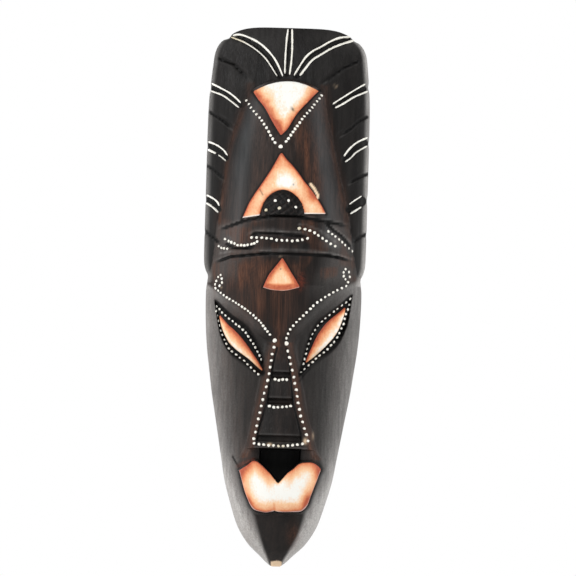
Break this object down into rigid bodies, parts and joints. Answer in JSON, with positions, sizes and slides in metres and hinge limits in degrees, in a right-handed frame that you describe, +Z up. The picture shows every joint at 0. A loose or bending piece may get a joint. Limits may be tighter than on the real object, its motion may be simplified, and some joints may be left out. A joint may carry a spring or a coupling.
{
  "type": "carved wall mask",
  "caption": "Tall hollow-backed carved wooden wall mask with a domed crown, grooved hood, slit eyes, tiered nose, painted panels, raised paint drops and a D-ring hanger.",
  "frame": {"origin": "on the wall plane, where the hook stands under the raised ring's inside top, on the mask's centre line", "axes": "+Z up along the mask, +Y into the wall, the face looks along -Y, +X to the right of someone facing it"},
  "size_m": [0.15, 0.077, 0.4995],
  "materials": {
    "carved_wood": "dark stained, waxed, with brown wear along the raised edges",
    "panel_paint": "cream paint shaded to orange red at the edges",
    "bone_paint": "thick off-white paint, lines and raised drops",
    "hanger_steel": "zinc plated"
  },
  "bodies": {
    "mask": {"mask_body": "carved_wood", "hanger_strap": "hanger_steel", "hanger_screw": "hanger_steel", "crown_fan_panel": "panel_paint", "crown_triangle_panel": "panel_paint", "brow_triangle_panel": "panel_paint", "eye_panel_left": "panel_paint", "eye_panel_right": "panel_paint", "lips_panel": "panel_paint", "ray_lines_top": "bone_paint", "ray_lines_left": "bone_paint", "ray_lines_right": "bone_paint", "crown_v_drops": "bone_paint", "crown_boss_drops": "bone_paint", "band_drops_left": "bone_paint", "band_drops_centre": "bone_paint", "band_drops_right": "bone_paint", "brow_drops_left": "bone_paint", "brow_drops_right": "bone_paint", "lid_drops_left": "bone_paint", "lid_drops_right": "bone_paint", "nose_side_drops_left": "bone_paint", "nose_side_drops_right": "bone_paint", "nose_bridge_drops": "bone_paint", "nose_base_drops": "bone_paint"},
    "ring": {"hanger_ring": "hanger_steel"}
  },
  "joints": [
    {"name": "ring_swing", "type": "hinge", "parent": "mask", "child": "ring", "pos_m": [0, -0.00585, -0.016], "axis": [1, 0, 0], "range_deg": [0, 180]}
  ]
}
